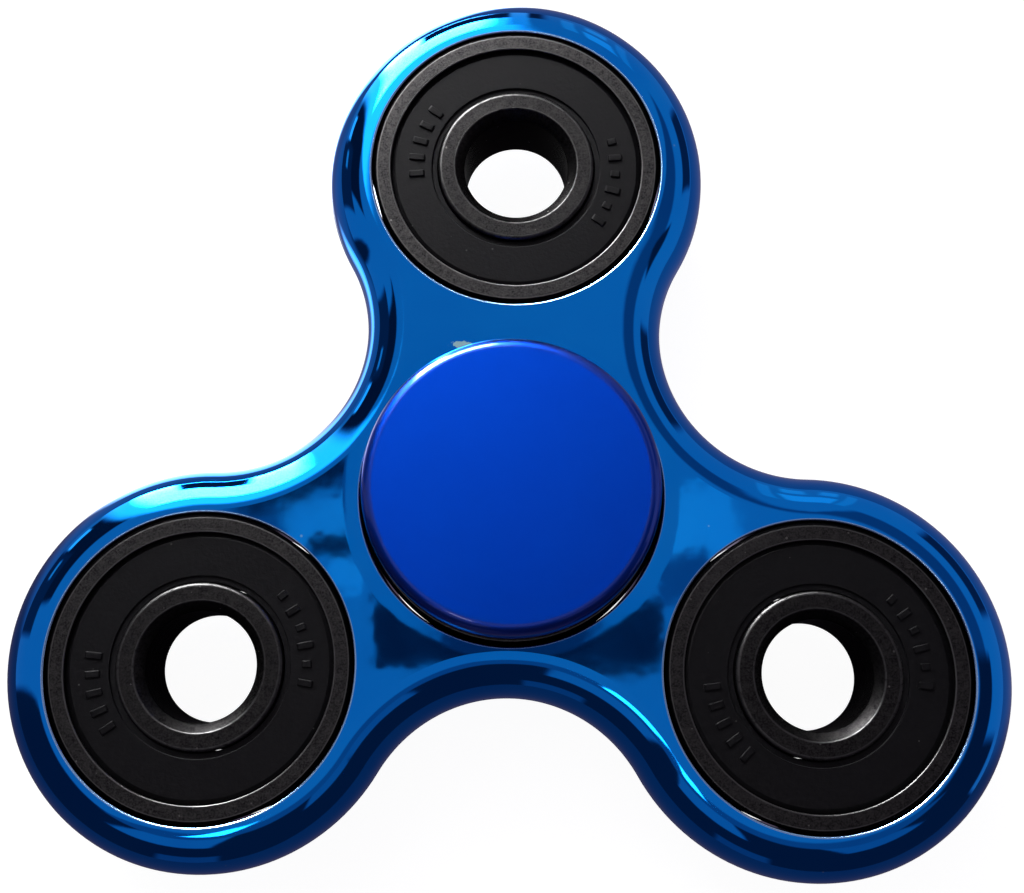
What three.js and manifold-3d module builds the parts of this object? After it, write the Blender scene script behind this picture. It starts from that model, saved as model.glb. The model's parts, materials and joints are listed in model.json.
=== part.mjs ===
// A three-armed hand spinner. A moulded shell holds four sealed ball bearings: one in its middle, and one in the
// round end of each arm. Two finger caps are pressed into the middle bearing from both sides. The caps and that
// bearing's inner ring stay still between two fingers, or on a table, while everything else turns round them.
//
// Millimetres, +Z up. The Z axis is the spin axis, the bottom cap's flat face lies on Z = 0, and the first arm
// points along +Y.

import * as THREE from 'three';
import { mergeVertices } from 'three/addons/utils/BufferGeometryUtils.js';
import Module from 'manifold-3d';

const wasm = await Module();
wasm.setup();

// ---- Driving dimensions ----

// Shell
const armCount = 3;
const armWeb = 3.4; // shell left between the middle bore and an arm's bore
const lobeWall = 3.55; // wall round an arm's bore
const waistWall = 3.6; // wall between the middle bore and the waist between two arms
const shellEdgeRound = 3.3; // rounding of the outer edges, above and below
const sideBand = 0.4; // straight band left between the two roundings
const faceLand = 0.1; // least flat face left between a bore's rim and the rounding
const shellProud = 0.0; // how far the shell's faces stand above the bearings' faces
const boreRim = 0.15; // broken edge where a bearing's bore meets the face

// Bearings, a standard size
const bearingBore = 8.0;
const bearingOutside = 22.0;
const bearingWidth = 7.0;
const ballDiameter = 3.969;
const ballCount = 7;
const innerShoulder = 1.5; // from the circle of the balls in to the inner ring's shoulders
const outerShoulder = 1.55; // from the circle of the balls out to the outer ring's shoulders
const raceConformity = 0.52; // groove radius as a share of the ball's diameter
const outerFaceWidth = 1.35; // flat face of the outer ring, with its chamfer
const outerChamfer = 0.25;
const innerChamfer = 0.23;
const boreLeadIn = 0.7; // wide chamfer at the mouth of the bore
const sealRecess = 0.35; // from the ring's face down to the seal
const sealThickness = 0.55;
const sealRimThickness = 0.3; // thin rim that sits in the outer ring's groove
const sealGrooveDepth = 0.3; // the groove, measured from the inner edge of the ring's face
const cageWidth = 1.0; // measured along the radius
const cageShell = 0.3; // sheet thickness round each ball
const cageWeb = 0.9; // two sheets riveted together between the balls

// Finger caps
const capRadius = 10.6;
const capHeight = 4.7; // from the bearing's face to the cap's flat face
const capLift = 1.0; // from the bearing's face to the lower edge of the cap's wall
const capRoof = 1.8; // thickness under the flat face
const capWall = 1.2;
const capEdgeRound = 0.8;
const bossInset = 0.3; // the boss is this much smaller than the inner ring's face
const stubLeadIn = 0.4;

// Clearances
const seatClearance = 0.1; // round an outer ring in the shell, and round a stub in the bore
const restClearance = 0.1; // between a boss and the ring it rests on
const stubEndGap = 0.3; // between a stub's end and the middle of the bearing
const raceClearance = 0.1; // between a ball and the two grooves
const pocketClearance = 0.12; // between a ball and its pocket
const sealClearance = 0.1; // round the seal's rim in its groove
const sealStep = 0.24; // between the ring's face and the seal that shows inside it
const lipGap = 0.41; // between the seal's lip and the inner ring

// Fineness
const arcSegments = 12;
const edgeSegments = 4;
const ringSegments = 24;
const capSegments = 24;
const grooveSegments = 3;
const pocketSides = 10;
const cageSegments = 2 * ballCount;

// ---- Sizes that follow ----

const boreRadius = bearingBore / 2;
const outsideRadius = bearingOutside / 2;
const halfWidth = bearingWidth / 2;
const pitchRadius = (boreRadius + outsideRadius) / 2;
const ballRadius = ballDiameter / 2;
const grooveRadius = raceConformity * ballDiameter;
const innerRingRadius = pitchRadius - innerShoulder;
const outerShoulderRadius = pitchRadius + outerShoulder;
const faceInnerRadius = outsideRadius - outerFaceWidth;
const shellThickness = bearingWidth + 2 * shellProud;
const shellBoreRadius = outsideRadius + seatClearance;
const armReach = 2 * shellBoreRadius + armWeb;
const lobeRadius = shellBoreRadius + lobeWall;
const waistDistance = shellBoreRadius + waistWall;
const edgeRound = Math.min(shellEdgeRound, (shellThickness - sideBand) / 2, lobeWall - boreRim - faceLand);
const middleHeight = halfWidth + capHeight;

const sealTop = halfWidth - sealRecess;
const sealBottom = sealTop - sealThickness;
const sealRimTop = sealBottom + sealRimThickness;
const sealGrooveRadius = faceInnerRadius + sealGrooveDepth;
const sealGrooveFloor = sealBottom - sealClearance;

// Waist circles that touch the lobes, so that the outline is smooth
const armStep = (2 * Math.PI) / armCount;
const reachAtWaist = 2 * armReach * Math.cos(armStep / 2);
const waistRadius =
  (armReach ** 2 + waistDistance ** 2 - reachAtWaist * waistDistance - lobeRadius ** 2) /
  (reachAtWaist + 2 * lobeRadius - 2 * waistDistance);
const waistCentre = waistDistance + waistRadius;

// ---- Materials ----

function finish(color, roughness, metalness) {
  return new THREE.MeshStandardMaterial({ color, roughness, metalness });
}

const finishes = {
  shell: () => finish(0x0158b4, 0.1, 0.9),
  cap: () => finish(0x013cb3, 0.3, 0.1),
  ring: () => finish(0x3a3a3c, 0.45, 0.8),
  seal: () => finish(0x1b1b1d, 0.6, 0.0),
  cage: () => finish(0x8c8c8c, 0.4, 1.0),
  ball: () => finish(0xc8c8cc, 0.1, 1.0),
};

// ---- Tools ----

function lathe(profile, segments) {
  const points = profile.map(([radius, height]) => new THREE.Vector2(radius, height));
  const geometry = new THREE.LatheGeometry(points, segments);
  geometry.rotateX(Math.PI / 2);
  return geometry;
}

// Points on a circle in the profile plane, both ends included
function arc(centreRadius, centreHeight, radius, from, to, steps) {
  const points = [];
  for (let i = 0; i <= steps; i++) {
    const angle = from + ((to - from) * i) / steps;
    points.push([centreRadius + radius * Math.cos(angle), centreHeight + radius * Math.sin(angle)]);
  }
  return points;
}

function solidFrom(geometry) {
  const bare = geometry.clone();
  bare.deleteAttribute('normal');
  bare.deleteAttribute('uv');
  const merged = mergeVertices(bare);
  const index = merged.index.array;
  const triangles = [];
  for (let i = 0; i < index.length; i += 3) {
    const [a, b, c] = [index[i], index[i + 1], index[i + 2]];
    if (a !== b && b !== c && c !== a) triangles.push(a, b, c);
  }
  return new wasm.Manifold(
    new wasm.Mesh({
      numProp: 3,
      vertProperties: merged.attributes.position.array,
      triVerts: Uint32Array.from(triangles),
    }),
  );
}

function geometryFrom(solid) {
  const mesh = solid.getMesh();
  const geometry = new THREE.BufferGeometry();
  geometry.setAttribute('position', new THREE.BufferAttribute(mesh.vertProperties, 3));
  geometry.setIndex(new THREE.BufferAttribute(mesh.triVerts, 1));
  geometry.computeVertexNormals();
  return geometry;
}

function piece(name, geometry, look) {
  const mesh = new THREE.Mesh(geometry, finishes[look]());
  mesh.name = name;
  return mesh;
}

function armPlace(index) {
  const angle = Math.PI / 2 + index * armStep;
  return new THREE.Vector3(armReach * Math.cos(angle), armReach * Math.sin(angle), 0);
}

function ballPlace(index) {
  const angle = Math.PI / 2 + (index * 2 * Math.PI) / ballCount;
  return new THREE.Vector3(pitchRadius * Math.cos(angle), pitchRadius * Math.sin(angle), 0);
}

// A solid made round the bearing's axis, moved out along +Y to the first ball and turned to the ball with this index
function atBall(solid, index) {
  return solid.translate([0, pitchRadius, 0]).rotate([0, 0, (index * 360) / ballCount]);
}

// ---- Shell ----

// One outline of lobes and waists. Where two arcs meet, their centres and the meeting point lie on one line.
function shellOutline() {
  const outline = new THREE.Shape();
  const acrossToWaist = waistCentre * Math.sin(armStep / 2);
  const alongToWaist = waistCentre * Math.cos(armStep / 2) - armReach;
  const lobeHalf = Math.atan2(acrossToWaist, alongToWaist);
  const waistHalf = lobeHalf - armStep / 2;
  for (let i = 0; i < armCount; i++) {
    const arm = Math.PI / 2 + i * armStep;
    const gap = arm + armStep / 2;
    const back = gap + Math.PI;
    outline.absarc(
      armReach * Math.cos(arm),
      armReach * Math.sin(arm),
      lobeRadius,
      arm - lobeHalf,
      arm + lobeHalf,
      false,
    );
    outline.absarc(
      waistCentre * Math.cos(gap),
      waistCentre * Math.sin(gap),
      waistRadius,
      back + waistHalf,
      back - waistHalf,
      true,
    );
  }
  return outline;
}

// A bore right through, with its edge broken at both faces
function shellBoreCutter() {
  const half = shellThickness / 2;
  const past = 1;
  const mouth = shellBoreRadius + boreRim + past;
  const profile = [
    [0, -half - past],
    [mouth, -half - past],
    [shellBoreRadius, -half + boreRim],
    [shellBoreRadius, half - boreRim],
    [mouth, half + past],
    [0, half + past],
  ];
  return lathe(profile, ringSegments);
}

function makeShell() {
  const plate = new THREE.ExtrudeGeometry(shellOutline(), {
    depth: shellThickness - 2 * edgeRound,
    bevelThickness: edgeRound,
    bevelSize: edgeRound,
    bevelOffset: -edgeRound,
    bevelSegments: edgeSegments,
    curveSegments: arcSegments,
  });
  plate.translate(0, 0, edgeRound - shellThickness / 2);
  const cutter = solidFrom(shellBoreCutter());
  let shell = solidFrom(plate).subtract(cutter);
  for (let i = 0; i < armCount; i++) {
    const place = armPlace(i);
    shell = shell.subtract(cutter.translate([place.x, place.y, place.z]));
  }
  return piece('body_shell', geometryFrom(shell), 'shell');
}

// ---- Bearings ----

// A groove's half angle, where its circle meets a shoulder
function grooveHalfAngle(groovePlace, shoulderRadius) {
  return Math.acos(Math.abs(shoulderRadius - groovePlace) / grooveRadius);
}

function outerRingGeometry() {
  const groovePlace = pitchRadius + ballRadius + raceClearance - grooveRadius;
  const half = grooveHalfAngle(groovePlace, outerShoulderRadius);
  const lipHeight = sealRimTop + 2 * sealClearance;
  const upper = [
    [outsideRadius, halfWidth - outerChamfer],
    [outsideRadius - outerChamfer, halfWidth],
    [faceInnerRadius, halfWidth],
    [faceInnerRadius, lipHeight + sealClearance],
    [sealGrooveRadius, lipHeight],
    [sealGrooveRadius, sealGrooveFloor],
    [outerShoulderRadius, sealGrooveFloor],
  ];
  const lower = upper.map(([radius, height]) => [radius, -height]).reverse();
  const groove = arc(groovePlace, 0, grooveRadius, half, -half, grooveSegments);
  return lathe([...upper, ...groove, ...lower, upper[0]], ringSegments);
}

function innerRingGeometry() {
  const groovePlace = pitchRadius - ballRadius - raceClearance + grooveRadius;
  const half = grooveHalfAngle(groovePlace, innerRingRadius);
  const lower = [
    [boreRadius, -halfWidth + boreLeadIn],
    [boreRadius + boreLeadIn, -halfWidth],
    [innerRingRadius - innerChamfer, -halfWidth],
    [innerRingRadius, -halfWidth + innerChamfer],
  ];
  const upper = lower.map(([radius, height]) => [radius, -height]).reverse();
  const groove = arc(groovePlace, 0, grooveRadius, Math.PI + half, Math.PI - half, grooveSegments);
  return lathe([...lower, ...groove, ...upper, lower[0]], ringSegments);
}

function sealGeometry() {
  const rimRadius = sealGrooveRadius - sealClearance;
  const lipRadius = innerRingRadius + lipGap;
  const profile = [
    [lipRadius, sealBottom],
    [rimRadius, sealBottom],
    [rimRadius, sealRimTop],
    [faceInnerRadius - sealStep, sealTop],
    [lipRadius, sealTop],
  ];
  return lathe([...profile, profile[0]], ringSegments);
}

// Two sheets that swell round the balls and meet between them. Each pocket is open inwards and outwards.
function cageGeometry() {
  const pocketRadius = ballRadius + pocketClearance;
  const swellRadius = pocketRadius + cageShell;
  const nearEdge = pitchRadius - cageWidth / 2;
  const farEdge = pitchRadius + cageWidth / 2;
  const band = solidFrom(
    lathe(
      [
        [nearEdge, -swellRadius],
        [farEdge, -swellRadius],
        [farEdge, swellRadius],
        [nearEdge, swellRadius],
        [nearEdge, -swellRadius],
      ],
      cageSegments,
    ),
  );
  const webs = solidFrom(
    lathe(
      [
        [0, -cageWeb / 2],
        [farEdge + cageWidth, -cageWeb / 2],
        [farEdge + cageWidth, cageWeb / 2],
        [0, cageWeb / 2],
      ],
      cageSegments,
    ),
  );
  const across = 4 * cageWidth;
  const swell = solidFrom(new THREE.CylinderGeometry(swellRadius, swellRadius, across, pocketSides));
  const pocket = solidFrom(new THREE.CylinderGeometry(pocketRadius, pocketRadius, across, pocketSides));
  let shape = webs;
  for (let i = 0; i < ballCount; i++) shape = shape.add(atBall(swell, i));
  shape = shape.intersect(band);
  for (let i = 0; i < ballCount; i++) shape = shape.subtract(atBall(pocket, i));
  return geometryFrom(shape);
}

function makeBearing(label) {
  const bearing = new THREE.Group();
  bearing.add(piece(`${label}_outer_ring`, outerRingGeometry(), 'ring'));
  bearing.add(piece(`${label}_inner_ring`, innerRingGeometry(), 'ring'));
  bearing.add(piece(`${label}_cage`, cageGeometry(), 'cage'));
  bearing.add(piece(`${label}_seal_top`, sealGeometry(), 'seal'));
  const under = piece(`${label}_seal_bottom`, sealGeometry(), 'seal');
  under.rotation.x = Math.PI;
  bearing.add(under);
  for (let i = 0; i < ballCount; i++) {
    const ball = piece(`${label}_ball_${i + 1}`, new THREE.IcosahedronGeometry(ballRadius, 1), 'ball');
    ball.position.copy(ballPlace(i));
    bearing.add(ball);
  }
  return bearing;
}

// ---- Finger caps ----

// A shallow cup with a boss that rests on the inner ring and a stub that goes into its bore
function capGeometry() {
  const stubRadius = boreRadius - seatClearance;
  const bossRadius = innerRingRadius - innerChamfer - bossInset;
  const stubEnd = stubEndGap - halfWidth;
  const ceiling = capHeight - capRoof;
  const edgeSteps = 3;
  const profile = [
    [0, stubEnd],
    [stubRadius - stubLeadIn, stubEnd],
    [stubRadius, stubEnd + stubLeadIn],
    [stubRadius, restClearance],
    [bossRadius, restClearance],
    [bossRadius, ceiling],
    [capRadius - capWall, ceiling],
    [capRadius - capWall, capLift],
    [capRadius, capLift],
    ...arc(capRadius - capEdgeRound, capHeight - capEdgeRound, capEdgeRound, 0, Math.PI / 2, edgeSteps),
    [0, capHeight],
  ];
  return lathe(profile, capSegments);
}

function makeCap(name) {
  const cap = piece(name, capGeometry(), 'cap');
  cap.position.z = halfWidth;
  return cap;
}

// ---- Assembly ----

const spinner = new THREE.Group();
spinner.position.z = middleHeight;

spinner.add(makeShell());
spinner.add(makeBearing('hub'));
for (let i = 0; i < armCount; i++) {
  const bearing = makeBearing(`arm_${i + 1}`);
  bearing.position.copy(armPlace(i));
  spinner.add(bearing);
}

spinner.add(makeCap('cap_top'));
const underside = new THREE.Group();
underside.rotation.x = Math.PI;
underside.add(makeCap('cap_bottom'));
spinner.add(underside);

const model = new THREE.Group();
model.add(spinner);

export default model;
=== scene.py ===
"""A three-armed hand spinner: a plated shell, four sealed ball bearings and two finger caps.

All lengths are metres in the frame's own axes. Places and overall sizes come from the frame's boxes and
joints.
"""

import json
import math

import bpy
import numpy as np
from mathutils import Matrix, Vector
from mathutils.geometry import delaunay_2d_cdt


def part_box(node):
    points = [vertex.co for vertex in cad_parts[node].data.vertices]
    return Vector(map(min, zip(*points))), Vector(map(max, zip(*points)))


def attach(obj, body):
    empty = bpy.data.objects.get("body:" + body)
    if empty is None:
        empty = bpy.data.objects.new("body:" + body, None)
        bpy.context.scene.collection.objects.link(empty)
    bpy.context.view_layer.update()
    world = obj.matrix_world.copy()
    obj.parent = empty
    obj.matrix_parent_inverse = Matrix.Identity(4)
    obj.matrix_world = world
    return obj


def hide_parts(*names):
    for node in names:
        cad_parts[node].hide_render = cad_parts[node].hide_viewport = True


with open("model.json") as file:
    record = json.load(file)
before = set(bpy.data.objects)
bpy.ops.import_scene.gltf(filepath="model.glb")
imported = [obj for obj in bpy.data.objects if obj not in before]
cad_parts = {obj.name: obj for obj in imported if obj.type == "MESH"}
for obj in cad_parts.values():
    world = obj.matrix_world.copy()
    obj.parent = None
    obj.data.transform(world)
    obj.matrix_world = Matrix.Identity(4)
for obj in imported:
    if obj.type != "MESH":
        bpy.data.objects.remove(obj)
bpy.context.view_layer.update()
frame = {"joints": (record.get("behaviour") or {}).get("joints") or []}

MM = 0.001
TURN = 2 * math.pi

# ---- Sizes that the frame gives ----

JOINT_PLACES = {joint["name"]: Vector(joint["pos_m"]) for joint in frame["joints"]}
ARMS = ("arm_1", "arm_2", "arm_3")
AXES = {"hub": JOINT_PLACES["body_spin"], **{arm: JOINT_PLACES[f"{arm}_ring_spin"] for arm in ARMS}}
SPIN_AXIS = AXES["hub"]
MIDDLE = SPIN_AXIS.z
ARM_REACH = (AXES["arm_1"] - SPIN_AXIS).length

shell_low, shell_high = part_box("body_shell")
outer_low, outer_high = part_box("hub_outer_ring")
inner_low, inner_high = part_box("hub_inner_ring")
cap_low, cap_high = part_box("cap_top")
ball_low, ball_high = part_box("hub_ball_1")

SHELL_HALF = (shell_high.z - shell_low.z) / 2
LOBE_RADIUS = shell_high.y - AXES["arm_1"].y
RING_HALF = (outer_high.z - outer_low.z) / 2
RING_RADIUS = (outer_high.x - outer_low.x) / 2
INNER_RADIUS = (inner_high.x - inner_low.x) / 2
CAP_RADIUS = (cap_high.x - cap_low.x) / 2
CAP_TOP = cap_high.z - MIDDLE
STUB_END = cap_low.z - MIDDLE
BALL_PITCH = (ball_low.y + ball_high.y) / 2 - SPIN_AXIS.y
BALL_COUNT = 7

# ---- Sizes inside those boxes ----

BORE_RADIUS = 4.0 * MM
BALL_RADIUS = 1.9845 * MM
SHELL_BORE = RING_RADIUS + 0.1 * MM
SHELL_EDGE = 3.3 * MM
SHELL_RIM = 0.15 * MM
WAIST_WALL = 3.6 * MM
PARTING_RIDGE = 0.04 * MM
FLECK_PLACE = (-3.8 * MM, 11.15 * MM, MIDDLE + SHELL_HALF)
FLECK_SIZE = (1.1 * MM, 0.42 * MM, 1.5 * MM)

RING_FACE_INNER = RING_RADIUS - 1.35 * MM
OUTER_SHOULDER = BALL_PITCH + 1.55 * MM
RACE_RADIUS = 0.52 * 2 * BALL_RADIUS
RACE_ROOM = 0.03 * MM
SEAL_TOP = RING_HALF - 0.35 * MM
SEAL_BOTTOM = SEAL_TOP - 0.55 * MM
SEAL_RIM_TOP = SEAL_BOTTOM + 0.3 * MM
SEAL_GROOVE = RING_FACE_INNER + 0.3 * MM
SEAL_LIP = INNER_RADIUS + 0.07 * MM
SEAL_EDGE = RING_FACE_INNER - 0.36 * MM

# ---- Making meshes ----


def round_corners(corners, closed=True, steps=6, support=0.06 * MM):
    """Turns (radius, height, rounding) corners into a smooth profile of (radius, height, wear) points.

    Wear is 1 on rounded edges that stand out and 0 elsewhere. Extra points beside each rounding keep flat
    faces flat.
    """
    count = len(corners)
    points = []
    for i, (r, z, rounding) in enumerate(corners):
        here = np.array((r, z))
        at_end = not closed and i in (0, count - 1)
        if at_end or rounding <= 0:
            points.append((r, z, 0.0))
            continue
        before = np.array(corners[i - 1][:2]) - here
        after = np.array(corners[(i + 1) % count][:2]) - here
        before_length = np.linalg.norm(before)
        after_length = np.linalg.norm(after)
        before, after = before / before_length, after / after_length
        opening = math.acos(np.clip(before @ after, -1, 1))
        reach = rounding / math.tan(opening / 2)
        middle = before + after
        centre = here + middle / np.linalg.norm(middle) * rounding / math.sin(opening / 2)
        stands_out = before[0] * after[1] - before[1] * after[0] < 0
        wear_and_shade = 1.0 if stands_out else 0.0
        if before_length > 2 * (reach + support):
            points.append((*(here + before * (reach + support)), 0.0))
        start = here + before * reach - centre
        end = here + after * reach - centre
        sweep = math.acos(np.clip(start @ end / rounding**2, -1, 1))
        for step in range(steps + 1):
            share = step / steps
            blend = math.sin((1 - share) * sweep) * start + math.sin(share * sweep) * end
            points.append((*(centre + blend / math.sin(sweep)), wear_and_shade))
        if after_length > 2 * (reach + support):
            points.append((*(here + after * (reach + support)), 0.0))
    return points


def arc_points(centre, radius, start, end, steps):
    """Points on a circle in the profile plane, as (radius, height, wear)."""
    angles = np.linspace(start, end, steps + 1)
    return [(centre[0] + radius * math.cos(a), centre[1] + radius * math.sin(a), 0.0) for a in angles]


def mesh_object(name, vertices, faces, uvs=None, wear_and_shade=None):
    """A smooth-shaded mesh object at the origin.

    uvs holds a pair for each face corner, wear a number for each vertex.
    """
    mesh = bpy.data.meshes.new(name)
    mesh.from_pydata([tuple(v) for v in vertices], [], faces)
    mesh.polygons.foreach_set("use_smooth", [True] * len(mesh.polygons))
    if uvs is not None:
        layer = mesh.uv_layers.new(name="UVMap")
        layer.data.foreach_set("uv", np.asarray(uvs, np.float32).ravel())
    if wear_and_shade is not None:
        attribute = mesh.attributes.new("wear_and_shade", "FLOAT", "POINT")
        attribute.data.foreach_set("value", np.asarray(wear_and_shade, np.float32))
    mesh.update()
    obj = bpy.data.objects.new(name, mesh)
    bpy.context.scene.collection.objects.link(obj)
    return obj


def turned(name, profile, centre, segments=128, closed=True, flip=False):
    """Turns a profile round a vertical axis.

    The profile runs up its outer side, and flip mirrors it top to bottom. The UV map runs along the turning
    direction and along the profile, in metres.
    """
    points = [(r, -z, wear_and_shade) for r, z, wear_and_shade in reversed(profile)] if flip else list(profile)
    rows = len(points)
    places = [(r, z) for r, z, worn in points]
    mean_radius = max(places)[0] * 0.75
    steps = [math.dist(here, ahead) for here, ahead in zip(places, places[1:])]
    along = np.concatenate(([0.0], np.cumsum(steps)))
    closing = along[-1] + math.dist(places[0], places[-1])
    vertices, wear_and_shade, index = [], [], {}
    for i in range(segments):
        angle = TURN * i / segments
        for j, (r, z, worn) in enumerate(points):
            if r < 1e-9 and i > 0:
                index[i, j] = index[0, j]
                continue
            index[i, j] = len(vertices)
            vertices.append((centre.x + r * math.cos(angle), centre.y + r * math.sin(angle), centre.z + z))
            wear_and_shade.append(worn)
    faces, uvs = [], []
    for i in range(segments):
        u0, u1 = (TURN * k / segments * mean_radius for k in (i, i + 1))
        for j in range(rows if closed else rows - 1):
            k = (j + 1) % rows
            v0, v1 = along[j], (along[k] if k else closing)
            ahead = (i + 1) % segments
            corners = [
                (index[i, j], u0, v0),
                (index[ahead, j], u1, v0),
                (index[ahead, k], u1, v1),
                (index[i, k], u0, v1),
            ]
            kept = [c for n, c in enumerate(corners) if c[0] != corners[n - 1][0]]
            faces.append([c[0] for c in kept])
            uvs.extend((c[1], c[2]) for c in kept)
    return mesh_object(name, vertices, faces, uvs, wear_and_shade)


# ---- Node helpers ----

FLOAT = "NodeSocketFloat"
VECTOR = "NodeSocketVector"
GEOMETRY = "NodeSocketGeometry"
WHOLE_NUMBER = "NodeSocketInt"
MATERIAL = "NodeSocketMaterial"


def feed(tree, socket, value):
    """Links another node's output to a socket, or gives the socket a plain value."""
    if isinstance(value, bpy.types.NodeSocket):
        tree.links.new(value, socket)
    else:
        socket.default_value = value


def add_node(tree, kind, inputs=None, **settings):
    """Adds a node. inputs maps a socket's name or number to a value or to another node's output."""
    node = tree.nodes.new(kind)
    for key, value in settings.items():
        setattr(node, key, value)
    for key, value in (inputs or {}).items():
        feed(tree, node.inputs[key], value)
    return node


def set_inputs(tree, node, **values):
    """Feeds a node's named inputs. An underscore stands for a space."""
    for key, value in values.items():
        feed(tree, node.inputs[key.replace("_", " ")], value)


def math_node(tree, operation, *values):
    return add_node(tree, "ShaderNodeMath", dict(enumerate(values)), operation=operation).outputs[0]


def product(tree, first, second):
    return math_node(tree, "MULTIPLY", first, second)


def vector_node(tree, operation, *values):
    return add_node(tree, "ShaderNodeVectorMath", dict(enumerate(values)), operation=operation).outputs[0]


def length_node(tree, vector):
    return add_node(tree, "ShaderNodeVectorMath", {0: vector}, operation="LENGTH").outputs["Value"]


def ramp_between(tree, value, low, high, to_low=0.0, to_high=1.0):
    """A smooth step from to_low to to_high as value goes from low to high."""
    return add_node(
        tree,
        "ShaderNodeMapRange",
        {0: value, 1: low, 2: high, 3: to_low, 4: to_high},
        interpolation_type="SMOOTHSTEP",
    ).outputs[0]


def noise_node(tree, position, spacing, detail, roughness):
    per_metre = math_node(tree, "DIVIDE", 1.0, spacing)
    values = {"Vector": position, "Scale": per_metre, "Detail": detail, "Roughness": roughness}
    return add_node(tree, "ShaderNodeTexNoise", values).outputs["Fac"]


def mix_colors(tree, share, first, second):
    node = tree.nodes.new("ShaderNodeMix")
    node.data_type = "RGBA"
    for name, value in (("Factor_Float", share), ("A_Color", first), ("B_Color", second)):
        feed(tree, next(s for s in node.inputs if s.identifier == name), value)
    return next(s for s in node.outputs if s.identifier == "Result_Color")


def new_group(name, inputs, outputs, kind="ShaderNodeTree"):
    """A node group with named inputs and outputs: (tree, what is given, output node).

    inputs maps each name to its default number, or to its socket's type. outputs does the same for types.
    """
    tree = bpy.data.node_groups.new(name, kind)
    for label, given in inputs.items():
        if isinstance(given, str):
            tree.interface.new_socket(label, in_out="INPUT", socket_type=given)
            continue
        socket_type = WHOLE_NUMBER if isinstance(given, int) else FLOAT
        tree.interface.new_socket(label, in_out="INPUT", socket_type=socket_type).default_value = given
    for label, socket_type in outputs.items():
        tree.interface.new_socket(label, in_out="OUTPUT", socket_type=socket_type)
    return tree, tree.nodes.new("NodeGroupInput").outputs, tree.nodes.new("NodeGroupOutput")


def use_group(tree, group, **values):
    node = add_node(tree, "ShaderNodeGroup", node_tree=group)
    set_inputs(tree, node, **values)
    return node


# ---- Effects that several finishes share ----


def make_specks_group():
    """Sparse small dots, such as dust, pits and flecks, of uneven size and strength."""
    inputs = {"Position": VECTOR, "Spacing": 0.001, "Size": 0.1, "Share": 0.2}
    tree, given, outputs = new_group("Specks", inputs, {"Mask": FLOAT})
    per_metre = math_node(tree, "DIVIDE", 1.0, given["Spacing"])
    place = {"Vector": given["Position"], "Scale": per_metre}
    cells = add_node(tree, "ShaderNodeTexVoronoi", place, feature="F1")
    chance = add_node(tree, "ShaderNodeSeparateColor", {0: cells.outputs["Color"]})
    size = product(tree, given["Size"], chance.outputs["Green"])
    dot = math_node(tree, "LESS_THAN", cells.outputs["Distance"], size)
    kept = math_node(tree, "LESS_THAN", chance.outputs["Red"], given["Share"])
    strength = product(tree, product(tree, dot, kept), chance.outputs["Blue"])
    set_inputs(tree, outputs, Mask=strength)
    return tree


def make_grain_group():
    """Fine uneven grain, as a height and a mask, from noise at one scale with finer noise on it."""
    inputs = {"Position": VECTOR, "Spacing": 0.0005, "Contrast": 0.5}
    tree, given, outputs = new_group("Grain", inputs, {"Height": FLOAT, "Mask": FLOAT})
    noise = noise_node(tree, given["Position"], given["Spacing"], 3.0, 0.65)
    half = product(tree, given["Contrast"], 0.5)
    low = math_node(tree, "SUBTRACT", 0.5, half)
    high = math_node(tree, "ADD", 0.5, half)
    set_inputs(tree, outputs, Height=noise, Mask=ramp_between(tree, noise, low, high))
    return tree


def make_turning_group():
    """Fine lines left by turning or grinding, which run round the piece. Position is its UV map."""
    inputs = {"Position": VECTOR, "Pitch": 0.0001, "Length": 0.01}
    tree, given, outputs = new_group("Turning lines", inputs, {"Height": FLOAT})
    parts = add_node(tree, "ShaderNodeSeparateXYZ", {0: given["Position"]})
    along = math_node(tree, "DIVIDE", parts.outputs["X"], given["Length"])
    across = math_node(tree, "DIVIDE", parts.outputs["Y"], given["Pitch"])
    stretched = add_node(tree, "ShaderNodeCombineXYZ", {0: along, 1: across})
    values = {"Vector": stretched.outputs[0], "Scale": 1.0, "Detail": 2.0}
    noise = add_node(tree, "ShaderNodeTexNoise", values)
    set_inputs(tree, outputs, Height=noise.outputs["Fac"])
    return tree


def make_edge_wear_group():
    """Turns a piece's wear attribute into a broken, uneven band along its edges."""
    inputs = {"Wear": 0.0, "Position": VECTOR, "Spacing": 0.001, "Amount": 0.5}
    tree, given, outputs = new_group("Edge wear", inputs, {"Mask": FLOAT})
    noise = noise_node(tree, given["Position"], given["Spacing"], 4.0, 0.7)
    lifted = math_node(tree, "ADD", noise, math_node(tree, "SUBTRACT", given["Amount"], 0.5))
    broken = ramp_between(tree, lifted, 0.35, 0.65)
    set_inputs(tree, outputs, Mask=product(tree, broken, given["Wear"]))
    return tree


def make_sink_group():
    """A shallow sink in a face round a bore: a height that rises from Start to End, from the axis."""
    inputs = {"Position": VECTOR, "Axis": VECTOR, "Start": 0.011, "End": 0.012}
    tree, given, outputs = new_group("Sink round a bore", inputs, {"Height": FLOAT})
    offset = vector_node(tree, "SUBTRACT", given["Position"], given["Axis"])
    distance = length_node(tree, vector_node(tree, "MULTIPLY", offset, (1, 1, 0)))
    set_inputs(tree, outputs, Height=ramp_between(tree, distance, given["Start"], given["End"]))
    return tree


SPECKS = make_specks_group()
GRAIN = make_grain_group()
TURNING = make_turning_group()
EDGE_WEAR = make_edge_wear_group()
SINK = make_sink_group()

# ---- Finishes ----


def new_material(name, **settings):
    """A material with one Principled BSDF: (material, tree, shader, object position)."""
    material = bpy.data.materials.new(name)
    material.use_nodes = True
    tree = material.node_tree
    shader = tree.nodes["Principled BSDF"]
    set_inputs(tree, shader, **settings)
    return material, tree, shader, tree.nodes.new("ShaderNodeTexCoord").outputs["Object"]


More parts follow.
